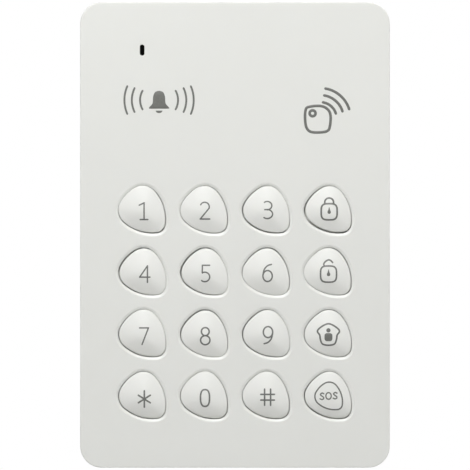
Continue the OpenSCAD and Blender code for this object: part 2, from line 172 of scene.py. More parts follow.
def pebble(grow=0.0, corner_steps=14, side_steps=12):
    """A key's outline: three round corners joined by flatter arcs, its tip at the lower right."""
    centres = [side_centre(i) for i in range(3)]

    def heading(corner, side):
        away = Vector(CORNERS[corner]) - centres[side]
        return math.atan2(away.y, away.x) + TIP_TURN

    def turned(point):
        return (point[0] * math.cos(TIP_TURN) - point[1] * math.sin(TIP_TURN),
                point[0] * math.sin(TIP_TURN) + point[1] * math.cos(TIP_TURN))

    points = []
    for i in range(3):
        before, after = heading(i, (i + 2) % 3), heading(i, i)
        points += arc_points(turned(CORNERS[i]), CORNER_RADII[i] + grow, before,
                             before + (after - before) % math.tau, corner_steps)
        end = heading((i + 1) % 3, i)
        points += arc_points(turned(centres[i]), SIDE_RADII[i] + grow, after,
                             after + (end - after) % math.tau, side_steps)
    return points


def rounded_rect(width, height, radius, steps=16):
    """An outline maker for a rectangle with round corners."""
    def outline(grow=0.0):
        points = []
        for quarter, (sx, sy) in enumerate([(1, 1), (-1, 1), (-1, -1), (1, -1)]):
            centre = (sx * (width / 2 - radius), sy * (height / 2 - radius))
            start = quarter * math.pi / 2
            points += arc_points(centre, radius + grow, start, start + math.pi / 2, steps)
            points.append((centre[0] + (radius + grow) * math.cos(start + math.pi / 2),
                           centre[1] + (radius + grow) * math.sin(start + math.pi / 2)))
        return points
    return outline


def circle(radius, steps=32):
    """An outline maker for a circle."""
    return lambda grow=0.0: arc_points((0, 0), radius + grow, 0, math.tau, steps)


def shifted(points, at):
    return [(x + at[0], y + at[1]) for x, y in points]


# ---- mesh building ----

class Solid:
    """A mesh made of closed loops of points and the faces between them."""

    def __init__(self):
        self.bm = bmesh.new()

    def loop(self, points, z):
        """A loop of vertices. z is one height, or a function of x and y."""
        height = z if callable(z) else lambda x, y: z
        return [self.bm.verts.new(place(x, y, height(x, y))) for x, y in points]

    def bridge(self, first, second):
        count = len(first)
        for i in range(count):
            j = (i + 1) % count
            self.bm.faces.new((first[i], first[j], second[j], second[i]))

    def chain(self, loops):
        for first, second in zip(loops, loops[1:]):
            self.bridge(first, second)
        return loops[0], loops[-1]

    def sweep(self, outline, profile, at=(0, 0)):
        """Loops of an outline at each (grow, z) of a profile, joined up."""
        return self.chain([self.loop(shifted(outline(grow), at), z) for grow, z in profile])

    def fan(self, loop, point):
        tip = self.bm.verts.new(place(*point))
        for i in range(len(loop)):
            self.bm.faces.new((loop[i], loop[(i + 1) % len(loop)], tip))

    def cap(self, loop):
        self.bm.faces.new(loop)

    def fill(self, outer, holes):
        """Flat triangles between an outer loop and the loops of its holes, which are convex, so
        a triangle with all its corners on one of them lies inside it."""
        verts, edges, owners = [], [], []
        for owner, loop in enumerate([outer, *holes]):
            start = len(verts)
            verts += loop
            owners += [owner] * len(loop)
            edges += [(start + i, start + (i + 1) % len(loop)) for i in range(len(loop))]
        flat = [Vector((v.co.x, v.co.z)) / MM for v in verts]
        inside_edges, tolerance = 1, 1e-6
        found = delaunay_2d_cdt(flat, edges, [], inside_edges, tolerance)
        faces, sources = found[2], found[3]
        for face in faces:
            corners = [sources[i][0] for i in face]
            around = {owners[i] for i in corners}
            if len(around) > 1 or 0 in around:
                self.bm.faces.new([verts[i] for i in corners])

    def tube(self, at, outer_r, inner_r, low, high):
        """A boss: a closed ring of wall."""
        outer, inner = circle(outer_r)(), circle(inner_r)()
        loops = [self.loop(shifted(points, at), z)
                 for points, z in [(outer, low), (outer, high), (inner, high), (inner, low)]]
        self.chain(loops + [loops[0]])

    def turned(self, profile, centre, sides):
        """A closed body turned round an axis along x, from pairs of x and radius."""
        y, z = centre
        turns = [math.tau * i / sides for i in range(sides)]
        loops = [[self.bm.verts.new(place(x, y + reach * math.cos(turn),
                                          z + reach * math.sin(turn))) for turn in turns]
                 for x, reach in profile]
        first, last = self.chain(loops)
        self.fan(first, (profile[0][0], y, z))
        self.fan(last, (profile[-1][0], y, z))

    def finish(self, name, body, material, sharp=40, replaces=()):
        """Makes the object, shades it and ties it to the frame."""
        bmesh.ops.recalc_face_normals(self.bm, faces=self.bm.faces)
        limit = math.radians(sharp)
        for edge in self.bm.edges:
            edge.smooth = edge.calc_face_angle(0) < limit
        for face in self.bm.faces:
            face.smooth = True
        mesh = bpy.data.meshes.new(name)
        self.bm.to_mesh(mesh)
        self.bm.free()
        mesh.materials.append(material)
        piece = bpy.data.objects.new(name, mesh)
        bpy.context.scene.collection.objects.link(piece)
        weighted_normals(piece)
        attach(piece, body)
        if replaces:
            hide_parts(*replaces)
        return piece


def weighted_normals(piece):
    """Lets large flat faces set the normals where they meet a rounding."""
    modifier = piece.modifiers.new("flat faces lead", "WEIGHTED_NORMAL")
    modifier.weight = 100
    modifier.keep_sharp = True


def rounding(grow, top, width, way, depth=None, fullness=1.0, steps=7):
    """Profile of a rounded edge, from its wall up to its flat top. way is +1 where growing
    moves away from the wall, as round a hole, and -1 round the outside. Lower fullness makes
    it more like a chamfer."""
    depth = depth or width
    turns = [math.pi / 2 * i / steps for i in range(steps + 1)]
    return [(grow + way * width * (1 - abs(math.cos(t)) ** (1 / fullness)),
             top - depth + depth * math.sin(t) ** (1 / fullness)) for t in turns]


# ---- materials ----

class Nodes:
    """Small helper for building a node tree."""

    def __init__(self, name):
        self.material = bpy.data.materials.new(name)
        self.material.use_nodes = True
        self.tree = self.material.node_tree
        self.shader = self.tree.nodes["Principled BSDF"]
        self.where = self.add("ShaderNodeTexCoord").outputs["Object"]

    def add(self, kind, **inputs):
        node = self.tree.nodes.new(kind)
        for socket, value in inputs.items():
            self.put(node.inputs[socket.replace("_", " ")], value)
        return node

    def put(self, socket, value):
        if isinstance(value, bpy.types.NodeSocket):
            self.tree.links.new(value, socket)
        else:
            socket.default_value = value

    def set(self, **inputs):
        for socket, value in inputs.items():
            self.put(self.shader.inputs[socket.replace("_", " ")], value)

    def noise(self, scale, detail=3.0, roughness=0.5):
        node = self.add("ShaderNodeTexNoise", Vector=self.where, Scale=scale, Detail=detail,
                        Roughness=roughness)
        return node.outputs["Fac"]

    def ramp(self, factor, stops):
        """Maps a factor to colours or greys at the given positions."""
        node = self.add("ShaderNodeValToRGB", Fac=factor)
        points = node.color_ramp.elements
        while len(points) < len(stops):
            points.new(0.5)
        for point, (at, colour) in zip(points, stops):
            point.position = at
            point.color = (*colour, 1) if isinstance(colour, tuple) else (colour,) * 3 + (1,)
        return node.outputs["Color"]

    def span(self, factor, low, high):
        """Maps a factor from 0 to 1 onto low to high."""
        node = self.add("ShaderNodeMapRange", Value=factor)
        node.inputs["To Min"].default_value = low
        node.inputs["To Max"].default_value = high
        return node.outputs["Result"]

    def bump(self, height, distance, strength=1.0, under=None):
        node = self.add("ShaderNodeBump", Height=height, Distance=distance, Strength=strength)
        if under is not None:
            self.put(node.inputs["Normal"], under)
        return node.outputs["Normal"]


def tinted(colour, share):
    return tuple(min(1.0, channel * share) for channel in colour)


def moulded(name, colour, rough=0.5, grain=2600, grain_depth=0.006, depth_of_light=0.35):
    """Moulded plastic: a fine eroded texture, faint flow marks and a little light inside."""
    nodes = Nodes(name)
    flow = nodes.noise(28, 2.0)
    speck = nodes.noise(grain, 2.0, 0.6)
    nodes.set(Base_Color=nodes.ramp(flow, [(0.3, tinted(colour, 0.985)), (0.7, colour)]),
              Roughness=nodes.span(speck, rough - 0.06, rough + 0.08),
              Normal=nodes.bump(speck, grain_depth * MM,
                                under=nodes.bump(flow, 0.01 * MM)))
    nodes.shader.inputs["IOR"].default_value = 1.5
    if depth_of_light:
        nodes.shader.inputs["Subsurface Weight"].default_value = 0.12
        nodes.shader.inputs["Subsurface Radius"].default_value = (1.0, 0.95, 0.85)
        nodes.shader.inputs["Subsurface Scale"].default_value = depth_of_light * MM
    return nodes.material


def printed_ink(name, colour):
    """Pad-printed ink: slightly uneven cover and a fine orange-peel."""
    nodes = Nodes(name)
    cover = nodes.noise(3200, 3.0)
    nodes.set(Base_Color=nodes.ramp(cover, [(0.25, tinted(colour, 0.86)),
                                            (0.75, tinted(colour, 1.12))]),
              Roughness=nodes.span(cover, 0.42, 0.62),
              Normal=nodes.bump(cover, 0.004 * MM))
    return nodes.material


def polished(name, colour, rough=0.08, coat=0.5, gloss=0.5):
    """Clear-coated or polished plastic with faint sink marks."""
    nodes = Nodes(name)
    wave = nodes.noise(160, 2.0)
    nodes.set(Base_Color=nodes.ramp(wave, [(0.3, tinted(colour, 0.9)), (0.7, colour)]),
              Roughness=nodes.span(wave, rough, rough + 0.08),
              Normal=nodes.bump(wave, 0.01 * MM))
    nodes.shader.inputs["Specular IOR Level"].default_value = gloss
    nodes.shader.inputs["Coat Weight"].default_value = coat
    nodes.shader.inputs["Coat Roughness"].default_value = 0.06
    return nodes.material


def plated(name, colour, rough=0.25, scratch=900):
    """Plated or bare metal with fine drawn scratches."""
    nodes = Nodes(name)
    stretch = nodes.add("ShaderNodeMapping", Vector=nodes.where)
    stretch.inputs["Scale"].default_value = (0.15, 1.0, 1.0)
    lines = nodes.add("ShaderNodeTexNoise", Vector=stretch.outputs["Vector"], Scale=scratch,
                      Detail=4.0).outputs["Fac"]
    cloud = nodes.noise(220, 2.0)
    nodes.set(Base_Color=nodes.ramp(cloud, [(0.3, tinted(colour, 0.88)), (0.7, colour)]),
              Roughness=nodes.span(lines, rough - 0.08, rough + 0.15),
              Normal=nodes.bump(lines, 0.004 * MM))
    nodes.shader.inputs["Metallic"].default_value = 1.0
    return nodes.material


def soft_rubber(name, colour, rough=0.7):
    """Silicone: matt, slightly cloudy, with a dusting."""
    nodes = Nodes(name)
    dust = nodes.noise(700, 4.0)
    nodes.set(Base_Color=nodes.ramp(dust, [(0.3, colour), (0.8, tinted(colour, 1.15))]),
              Roughness=nodes.span(dust, rough - 0.1, rough + 0.1),
              Normal=nodes.bump(dust, 0.008 * MM))
    nodes.shader.inputs["Sheen Weight"].default_value = 0.15
    return nodes.material


def solder_mask(name, colour):
    """A board: copper traces that show as raised lines under green lacquer."""
    nodes = Nodes(name)
    cells = nodes.add("ShaderNodeTexVoronoi", Vector=nodes.where, Scale=420.0)
    cells.distance = "MANHATTAN"
    cells.feature = "F1"
    traces = nodes.ramp(cells.outputs["Distance"], [(0.42, 0.0), (0.5, 1.0)])
    nodes.set(Base_Color=nodes.ramp(traces, [(0.0, colour), (1.0, tinted(colour, 1.7))]),
              Normal=nodes.bump(traces, 0.03 * MM))
    nodes.shader.inputs["Roughness"].default_value = 0.28
    nodes.shader.inputs["Coat Weight"].default_value = 0.4
    return nodes.material


SHELL_WHITE = (0.74, 0.745, 0.715)
KEY_WHITE = (0.768, 0.772, 0.742)
INK_GREY = (0.155, 0.158, 0.145)

shell_plastic = moulded("shell_plastic", SHELL_WHITE, rough=0.42)
back_plastic = moulded("back_plastic", tinted(SHELL_WHITE, 0.97), rough=0.58, grain=1500,
                       grain_depth=0.012)
key_plastic = moulded("key_plastic", KEY_WHITE, rough=0.5, grain_depth=0.003)
bracket_plastic = moulded("bracket_plastic", (0.62, 0.62, 0.60), rough=0.6, grain=1300,
                          grain_depth=0.014)
acetal = moulded("acetal", (0.80, 0.80, 0.77), rough=0.3, grain_depth=0.003)
legend_ink = printed_ink("legend_ink", INK_GREY)
label_film = printed_ink("label_film", (0.62, 0.62, 0.61))
smoked = polished("smoked_lens", (0.002, 0.002, 0.002), coat=0.0, gloss=0.15)
led_resin = polished("led_resin", (0.8, 0.8, 0.68), rough=0.2)
epoxy = moulded("epoxy", (0.035, 0.035, 0.037), rough=0.45, grain=1800, depth_of_light=0)
silicone = soft_rubber("silicone", (0.52, 0.53, 0.52))
carbon_rubber = soft_rubber("carbon_rubber", (0.05, 0.05, 0.05))
green_board = solder_mask("green_board", (0.015, 0.13, 0.05))
can_metal = plated("can_metal", (0.66, 0.67, 0.68), rough=0.3)
steel = plated("steel", (0.58, 0.575, 0.55))
gold_flash = plated("gold_flash", (0.78, 0.5, 0.22), rough=0.3)
copper_wire = plated("copper_wire", (0.72, 0.33, 0.16), rough=0.35)
jacket = polished("cell_jacket", (0.035, 0.05, 0.075), rough=0.2)


# ---- front shell ----

def key_at(name):
    """The middle of a key's aperture."""
    x, y, _ = centre_of("key_" + name)
    return x, y


def corners_of(node, inset):
    """Where a node's four screws stand, in panel x and y."""
    low, high = (Vector(corner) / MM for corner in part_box(node))
    return [(x, y - MID / MM) for x in (low.x + inset, high.x - inset)
            for y in (low.z + inset, high.z - inset)]


def screw_tip(node):
    """How far from the wall a node's screws reach."""
    return -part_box(node)[0][1] / MM


def build_shell():
    """The front shell: a tray with sixteen apertures, a slot and eight screw bosses."""
    shell = Solid()
    body = rounded_rect(WIDTH, HEIGHT, CORNER_R)
    foot, face_edge = shell.sweep(
        body, [(-SEAM_BREAK, SEAM), (0, SEAM + SEAM_BREAK)] + rounding(0, FACE, EDGE_R, -1))
    inner_foot, inner_face = shell.sweep(
        body, [(-WALL, SEAM), (-WALL, FACE_IN - INNER_BREAK), (-WALL - INNER_BREAK, FACE_IN)])
    shell.bridge(foot, inner_foot)

    tops, bottoms = [], []
    lip = rounding(APERTURE_GROW, FACE, APERTURE_LIP, 1, APERTURE_DEEP, APERTURE_FULL)
    for row in KEYS:
        for name in row:
            bottom, top = shell.sweep(pebble, [(APERTURE_GROW, FACE_IN)] + lip, key_at(name))
            bottoms.append(bottom)
            tops.append(top)
    slot = rounded_rect(SLOT_W, SLOT_H, SLOT_R, steps=8)
    slot_lip = rounding(0, FACE, SLOT_LIP, 1, steps=4)
    bottom, top = shell.sweep(slot, [(0, FACE_IN)] + slot_lip, centre_of("status_lens")[:2])
    shell.fill(face_edge, tops + [top])
    shell.fill(inner_face, bottoms + [bottom])

    for node, head_r, boss_r, pilot_r, grip in (
            ("case_screws", CASE_HEAD_R, CASE_BOSS_R, CASE_PILOT_R, CASE_GRIP),
            ("board_screws", BOARD_HEAD_R, BOARD_BOSS_R, BOARD_PILOT_R, BOARD_GRIP)):
        for at in corners_of(node, head_r):
            shell.tube(at, boss_r, pilot_r, screw_tip(node) - grip, FACE_IN + SINK)
    return shell.finish("front_face", "case", shell_plastic, replaces=["front_shell"])


# ---- key caps ----

def scaled_pebble(scale, grow=-CAP_SHRINK - CAP_EDGE_R):
    """The cap's outline shrunk towards its summit."""
    return [(SUMMIT[0] + (x - SUMMIT[0]) * scale, SUMMIT[1] + (y - SUMMIT[1]) * scale)
            for x, y in pebble(grow)]


CAP_OUTLINE = sorted((math.atan2(y - SUMMIT[1], x - SUMMIT[0]),
                      math.hypot(x - SUMMIT[0], y - SUMMIT[1]))
                     for x, y in pebble(-CAP_SHRINK))


def edge_share(x, y):
    """How far a point is from the summit, as a share of the way to the cap's outline."""
    across, up = x - SUMMIT[0], y - SUMMIT[1]
    turn = math.atan2(up, across)
    after = bisect.bisect(CAP_OUTLINE, (turn,)) % len(CAP_OUTLINE)
    (turn_1, reach_1), (turn_2, reach_2) = CAP_OUTLINE[after - 1], CAP_OUTLINE[after]
    part = ((turn - turn_1) % math.tau) / ((turn_2 - turn_1) % math.tau)
    return math.hypot(across, up) / (reach_1 + (reach_2 - reach_1) * part)


def fall(share):
    """How far a key's crown has dropped at a share of the way to its outline: a soft cone."""
    return SLOPE * (math.hypot(share * CAP_REACH, SUMMIT_R) - SUMMIT_R)


def lean(y, sag):
    """How far the crown is tipped: up at its top, and down where a finger comes to it."""
    return LEAN * (y - SUMMIT[1]) - sag * max(0, SAG_FROM - y) ** 2


# The alarm key's printed ring, as a share of the way to the outline, and how steep its top is
# inside the ring, as a share of the others' slope
SOS_RING = 0.605
SOS_FLAT = 0.5


def crown_of(name):
    """The height of a key's crown over its own centre. The keys of the lower rows droop more,
    and the alarm key has a flatter top inside its printed ring."""
    sag = next(SAG[row] for row in range(len(KEYS)) if name in KEYS[row])

    def crown(x, y):
        return CROWN - fall(edge_share(x, y)) + lean(y, sag)

    def flat_topped(x, y):
        share = edge_share(x, y)
        flattening = SOS_FLAT if share < SOS_RING else 1
        drop = fall(SOS_RING) + flattening * (fall(share) - fall(SOS_RING))
        return CROWN - drop + lean(y, sag)

    return flat_topped if name == "sos" else crown


# How each cap has settled in its aperture: right and up, in units of PLAY
SETTLED = {"1": (-0.8, 1.1), "2": (-0.6, 0.4), "3": (1.2, 0.8), "arm": (1.2, 1.5),
           "4": (1.7, -0.5), "5": (1.8, -0.4), "6": (-0.2, -1), "disarm": (-1, 0),
           "7": (0.8, 0.8), "8": (0.7, -1), "9": (1.1, 0.1), "home": (0, 0),
           "star": (0.5, 0.5), "0": (-0.2, 0.9), "hash": (-0.2, 0.9), "sos": (0.8, 1)}
PLAY = 0.1
# How much smaller than the rest a cap is all round, or larger where it is below zero
UNDERSIZE = {"1": 0.01, "2": -0.01, "3": 0.05, "arm": 0.13, "4": 0.05, "5": 0.06, "6": -0.01,
             "disarm": -0.01, "8": 0.03, "9": 0.02, "star": 0.02, "0": 0.01, "hash": 0.02,
             "sos": 0.06}


def cap_centre(name):
    """The middle of a cap where it has settled."""
    x, y = key_at(name)
    return x + SETTLED[name][0] * PLAY, y + SETTLED[name][1] * PLAY


def build_key(name):
    """A hollow cap with a flange under the face and a stem that presses the mat."""
    cap = Solid()
    surface = crown_of(name)
    at = cap_centre(name)

    def ring(points, z):
        height = z if callable(z) else lambda x, y: z
        return cap.loop(shifted(points, at), lambda x, y: height(x - at[0], y - at[1]))

    side = -CAP_SHRINK - UNDERSIZE.get(name, 0)

    def edge(inset, drop):
        return ring(pebble(side - inset), lambda x, y: surface(x, y) - drop)

    turns = [math.pi / 2 * i / CAP_EDGE_STEPS for i in range(CAP_EDGE_STEPS + 1)]
    loops = [ring(pebble(-CAP_WALL), HOLLOW_TOP), ring(pebble(-CAP_WALL), FLANGE_LOW),
             ring(pebble(FLANGE_W), FLANGE_LOW), ring(pebble(FLANGE_W), FLANGE_TOP),
             ring(pebble(side), FLANGE_TOP)]
    loops += [edge(CAP_EDGE_R * (1 - math.cos(t)), CAP_EDGE_R * (1 - math.sin(t)))
              for t in turns]
    loops += [ring(scaled_pebble(1 - i / CAP_RINGS, side - CAP_EDGE_R), surface)
              for i in range(1, CAP_RINGS)]
    first, last = cap.chain(loops)
    cap.fan(last, (at[0] + SUMMIT[0], at[1] + SUMMIT[1], surface(*SUMMIT)))

    around = [math.atan2(y, x) for x, y in pebble(-CAP_WALL)]
    stem = [(STEM_R * math.cos(turn), STEM_R * math.sin(turn)) for turn in around]
    stem_top, stem_end = ring(stem, HOLLOW_TOP), ring(stem, STEM_END)
    cap.chain([first, stem_top, stem_end])
    cap.fan(stem_end, (*at, STEM_END))
    key = "key_" + name
    return cap.finish("cap_" + name, key, key_plastic, replaces=[key])


for row in KEYS:
    for name in row:
        build_key(name)
build_shell()


# ---- printed legends ----

def ellipse(centre, rx, ry, start=0.0, end=360.0, power=2.0, steps=36):
    """Points round an ellipse, or a squarer outline where power is over 2."""
    points = []
    for i in range(steps + 1):
        turn = math.radians(start + (end - start) * i / steps)
        cos, sin = math.cos(turn), math.sin(turn)
        points.append((centre[0] + rx * math.copysign(abs(cos) ** (2 / power), cos),
                       centre[1] + ry * math.copysign(abs(sin) ** (2 / power), sin)))
    return points


def smooth(points, closed=False, steps=8):
    """A curve through points."""
    count = len(points)
    spans = count if closed else count - 1

    def at(i):
        return Vector(points[i % count] if closed else points[max(0, min(count - 1, i))])

    curve = []
    for i in range(spans):
        before, start, end, after = at(i - 1), at(i), at(i + 1), at(i + 2)
        for step in range(steps):
            t = step / steps
            curve.append(tuple(0.5 * (2 * start + (end - before) * t
                                      + (2 * before - 5 * start + 4 * end - after) * t ** 2
                                      + (3 * start - before - 3 * end + after) * t ** 3)))
    return curve if closed else curve + [tuple(points[-1])]


def spaced(path, closed, gap=0.22):
    """The same path with extra points, so that it can follow a curved surface."""
    ends = path[1:] + path[:1] if closed else path[1:]
    points = []
    for start, end in zip(path, ends):
        parts = max(1, math.ceil(math.dist(start, end) / gap))
        points += [tuple(Vector(start).lerp(Vector(end), i / parts)) for i in range(parts)]
    return points if closed else points + [path[-1]]


# A band of ink across: where its points lie, as shares of half its width, and whether on top
BAND = [(-1, False), (-0.86, True), (0.86, True), (1, False)]
# Where a band's round end is cut across, in degrees
END_TURNS = [30, 55, 75]
# The most a band widens at a bend, and the least cosine that is divided by there
SPREAD_MOST = 1.6
COSINE_LEAST = 0.3


def stroke(ink, path, half, surface, at, lift, closed=False):
    """A flat band of ink along a path, with round ends."""
    path = spaced(path, closed)
    count = len(path)

    def station(centre, ahead, width, spread=1.0):
        side = Vector((-ahead.y, ahead.x)) * width * spread
        row = []
        for share, top in BAND:
            x, y = Vector(centre) + side * share
            z = surface(x, y) + (INK_T + lift if top else -INK_SINK)
            row.append(ink.bm.verts.new(place(x + at[0], y + at[1], z)))
        return row

    stations = []
    for i, point in enumerate(path):
        before = Vector(path[i - 1] if closed or i else point)
        after = Vector(path[(i + 1) % count] if closed or i < count - 1 else point)
        ahead = (after - before).normalized()
        arriving = (Vector(point) - before).normalized() if before != Vector(point) else ahead
        spread = min(SPREAD_MOST, 1 / max(COSINE_LEAST, ahead.dot(arriving)))
        stations.append(station(point, ahead, half, spread))
    if closed:
        ink.chain(stations + [stations[0]])
        return
    start_way = (Vector(path[1]) - Vector(path[0])).normalized()
    end_way = (Vector(path[-1]) - Vector(path[-2])).normalized()
    turns = [math.radians(turn) for turn in END_TURNS]
    head = [station(Vector(path[0]) - start_way * half * math.sin(t), start_way,
                    half * math.cos(t)) for t in reversed(turns)]
    tail = [station(Vector(path[-1]) + end_way * half * math.sin(t), end_way,
                    half * math.cos(t)) for t in turns]
    first, last = ink.chain(head + stations + tail)
    ink.cap(first)
    ink.cap(last)


def blot(ink, outline, surface, at, lift):
    """A filled shape of ink."""
    middle = sum((Vector(p) for p in outline), Vector((0, 0))) / len(outline)

    def ring(scale, top):
        points = [tuple(middle + (Vector(p) - middle) * scale) for p in outline]
        rise = INK_T + lift if top else -INK_SINK
        return ink.loop(shifted(points, at),
                        lambda x, y: surface(x - at[0], y - at[1]) + rise)

    first, last = ink.chain([ring(1, False), ring(0.95, True), ring(0.5, True)])
    ink.fan(last, (middle.x + at[0], middle.y + at[1], surface(*middle) + INK_T + lift))
    ink.cap(first)


def mirrored(points):
    """Points down the right side, and back up the left."""
    return points + [(-x, y) for x, y in reversed(points) if x > 0.01]


def padlock(middle):
    """A padlock's body and keyhole, without its shackle."""
    body = ellipse((0, middle), 1.94, 1.96, power=3.4)[:-1]
    hole = smooth(mirrored([(0, middle + 1.25), (0.2, middle + 0.52), (0.43, middle - 0.03),
                            (0.31, middle - 0.42), (0, middle - 0.52)]), closed=True, steps=3)
    return body, hole


def turned_half(points):
    """Points turned half round, as a six is to a nine."""
    return [(-x, -y) for x, y in points]


SIX_BOWL = ellipse((0.02, -0.78), 1.13, 1.33)[:-1]
SIX_STEM = smooth([(0.92, 2.02), (0.0, 1.7), (-0.78, 0.8), (-1.11, -0.6)])
LETTER_S = smooth([(0.42, 0.6), (0.02, 0.78), (-0.4, 0.44), (-0.06, 0.06), (0.36, -0.24),
                   (0.36, -0.6), (-0.04, -0.78), (-0.46, -0.62)])
# Every legend: its open strokes, its closed strokes and its filled shapes
GLYPHS = {
    "1": ([[(-1.08, 1.5), (0.08, 2.05)], [(0.08, 2.05), (0.08, -1.98)],
           [(-0.84, -1.98), (0.98, -1.98)]], [], []),
    "2": ([ellipse((-0.04, 0.93), 1.1, 1.1, 152, -20) + [(-1.12, -2.03)],
           [(-1.12, -2.03), (1.14, -2.03)]], [], []),
    "3": ([ellipse((-0.2, 1.08), 1.1, 1.0, 128, -90)
           + ellipse((-0.2, -0.98), 1.28, 1.08, 90, -128), [(-0.8, 0.1), (-0.2, 0.1)]], [], []),
    "4": ([[(0.72, 2.0), (-1.16, -0.73)], [(-1.16, -0.73), (1.32, -0.73)],
           [(0.72, 2.0), (0.72, -1.98)]], [], []),
    "5": ([[(0.96, 1.96), (-0.76, 1.96)],
           [(-0.76, 1.96), (-0.82, 0.16)] + ellipse((-0.2, -0.86), 1.2, 1.15, 121, -128)],
          [], []),
    "6": ([SIX_STEM], [SIX_BOWL], []),
    "7": ([[(-1.1, 2.02), (1.02, 2.02)], [(1.02, 2.02), (-0.52, -1.98)]], [], []),
    "8": ([], [ellipse((0, 1.08), 0.94, 0.97)[:-1], ellipse((0, -1.0), 1.14, 1.1)[:-1]], []),
    "9": ([turned_half(SIX_STEM)], [turned_half(SIX_BOWL)], []),
    "0": ([], [ellipse((0, 0), 1.1, 2.04, power=2.5)[:-1]], []),
    "star": ([[(0, 1.95), (0, -1.95)], [(-1.42, 0.9), (1.42, -0.9)],
              [(-1.42, -0.9), (1.42, 0.9)]], [], []),
    "hash": ([[(x, 1.93), (x, -1.93)] for x in (-0.73, 0.73)]
             + [[(-1.62, y), (1.62, y)] for y in (0.69, -0.69)], [], []),
    "arm": ([[(-1.06, 1.3)] + ellipse((0, 1.68), 1.06, 1.0, 180, 0) + [(1.06, 1.3)]],
            [padlock(-0.65)[0]], [padlock(-0.65)[1]]),
    "disarm": ([smooth([(-1.0, 1.35), (-1.14, 1.92), (-0.65, 2.56), (0.05, 2.88), (0.6, 2.66),
                        (0.98, 2.24)])], [padlock(-0.56)[0]], [padlock(-0.56)[1]]),
    "home": ([], [smooth(mirrored([(0, 2.6), (1.25, 2.17), (2.42, 1.28), (2.63, 0.6),
                                   (2.12, -0.12), (1.94, -1.2), (1.44, -2.3), (0, -2.6)]),
                         closed=True)],
             [ellipse((0, 1.02), 0.54, 0.54, steps=18)[:-1],
              ellipse((0, -0.64), 1.0, 1.03, power=3.4)[:-1]]),
    "sos": ([shifted(LETTER_S, (-1.69, 0.04)), shifted(LETTER_S, (1.49, 0.2))],
            [ellipse((-0.12, 0.12), 0.65, 0.8)[:-1]], []),
}
# How much heavier or finer than the rest some legends' strokes are
WEIGHTS = {"6": 1.05, "8": 1.1, "9": 1.1, "0": 1.15, "star": 1.18, "hash": 1.15, "arm": 1.22,
           "disarm": 1.14, "home": 1.18, "sos": 0.95}
# How far right of a key's centre the legends of each column are printed, how far above it the
# first one is, and how much higher each is than the one over it or to its left
COLUMN_SHIFT = [0.45, 0.25, 0.44, 0.23]
FIRST_UP = -0.46
ROW_UP = -0.14
COLUMN_UP = 0.18
# How far off its place a legend is printed, and how much of a cap's settling it doesn't share
OFF_PLACE = {"1": (0, -0.04), "3": (0, -0.06), "arm": (0, -0.06), "6": (-0.05, 0),
             "9": (0, -0.08), "home": (-0.09, -0.06), "star": (0.05, -0.04), "hash": (-0.03, 0)}
PRINT_LAG = 0.3


def build_legend(name, row, column):
    """A key's printed legend, which lies on its crown."""
    ink = Solid()
    x0, y0 = cap_centre(name)
    slip = [aside - PRINT_LAG * PLAY * settled
            for aside, settled in zip(OFF_PLACE.get(name, (0, 0)), SETTLED[name])]
    drift = (COLUMN_SHIFT[column] + slip[0],
             FIRST_UP + ROW_UP * row + COLUMN_UP * column + slip[1])
    at = (x0 + drift[0], y0 + drift[1])
    cap_surface = crown_of(name)

    def surface(x, y):
        return cap_surface(x + drift[0], y + drift[1])

    open_paths, closed_paths, fills = GLYPHS[name]
    half = STROKE * WEIGHTS.get(name, 1.0)
    lift = 0.0
    for path in open_paths:
        stroke(ink, path, half, surface, at, lift)
        lift += INK_STEP
    for path in closed_paths:
        stroke(ink, path, half, surface, at, lift, closed=True)
        lift += INK_STEP
    for outline in fills:
        blot(ink, outline, surface, at, lift)
        lift += INK_STEP
    if name == "sos":
        ring = [(x - drift[0], y - drift[1]) for x, y in scaled_pebble(SOS_RING)]
        stroke(ink, ring, STROKE, surface, at, 0, closed=True)
    ink.finish("legend_" + name, "key_" + name, legend_ink, sharp=60)


for row, names in enumerate(KEYS):
    for column, name in enumerate(names):
        build_legend(name, row, column)


# ---- generic marks on the face ----

# The bell: how far right of the first column and how far over the panel's middle it stands,
# and how far out and how far round each pair of its sound arcs reaches
BELL_RIGHT = 4.1
BELL_UP = 32.5
BELL_STROKE = 0.27
BELL_WAVES = [(4.6, 28.8), (6.6, 25.6), (8.4, 23.2)]
# The tag: how far off the middle of the reader's coil it stands, and how far out its arcs are
TAG_OFFSET = (-0.4, 0.3)
TAG_STROKE = 0.37
TAG_WAVES = [3.9, 5.6, 7.3]


def flat_face(x, y):
    return FACE


def build_mark(name, at, half, open_paths, closed_paths=(), fills=()):
    """A mark printed on the front shell."""
    ink = Solid()
    for path in open_paths:
        stroke(ink, path, half, flat_face, at, 0.0)
    for path in closed_paths:
        stroke(ink, path, half, flat_face, at, INK_STEP, closed=True)
    for outline in fills:
        blot(ink, outline, flat_face, at, 2 * INK_STEP)
    ink.finish(name, "case", legend_ink, sharp=60)


def build_bell():
    """An alarm bell with sound on both sides."""
    bell = smooth(mirrored([(0, 2.55), (1.0, 2.2), (1.5, 1.1), (1.65, -0.6), (2.5, -1.65),
                            (2.3, -1.95), (0, -1.98)]), closed=True)
    clapper = ellipse((0, -2.35), 0.85, 0.62, 180, 360, steps=16)
    waves = []
    for reach, spread in BELL_WAVES:
        for middle in (0, 180):
            waves.append(ellipse((0, 0.2), reach, reach, middle - spread, middle + spread,
                                 steps=14))
    at = (key_at("1")[0] + BELL_RIGHT, BELL_UP)
    build_mark("bell_mark", at, BELL_STROKE, waves, [], [bell, clapper])


